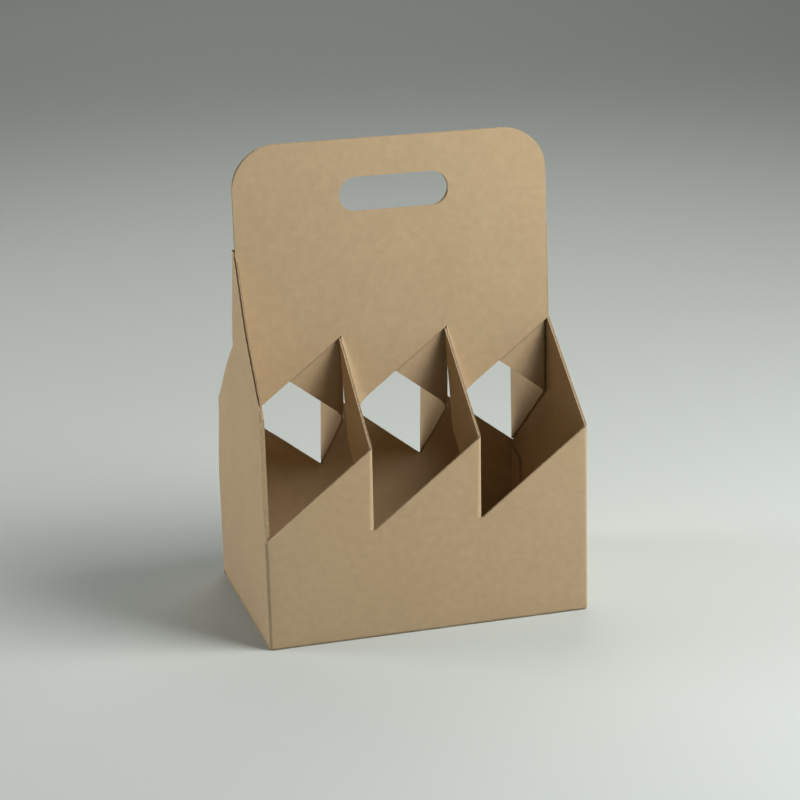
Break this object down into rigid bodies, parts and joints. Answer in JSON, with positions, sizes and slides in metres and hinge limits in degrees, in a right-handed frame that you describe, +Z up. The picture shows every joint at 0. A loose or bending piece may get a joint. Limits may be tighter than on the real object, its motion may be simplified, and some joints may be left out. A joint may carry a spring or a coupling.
{
  "type": "bottle carrier box",
  "caption": "Folded kraft board carrier with six bottle cells, sawtooth walls and a tall middle handle with an oblong hand slot.",
  "frame": {"origin": "middle of the footprint, on the surface that the carrier stands on", "axes": "+X along the length to the right, +Y from the front wall to the back wall, +Z up"},
  "size_m": [0.195, 0.1348, 0.2818],
  "materials": {
    "kraft_board": "matte unbleached kraft liner"
  },
  "bodies": {
    "root": {"carrier": "kraft_board"}
  },
  "joints": []
}
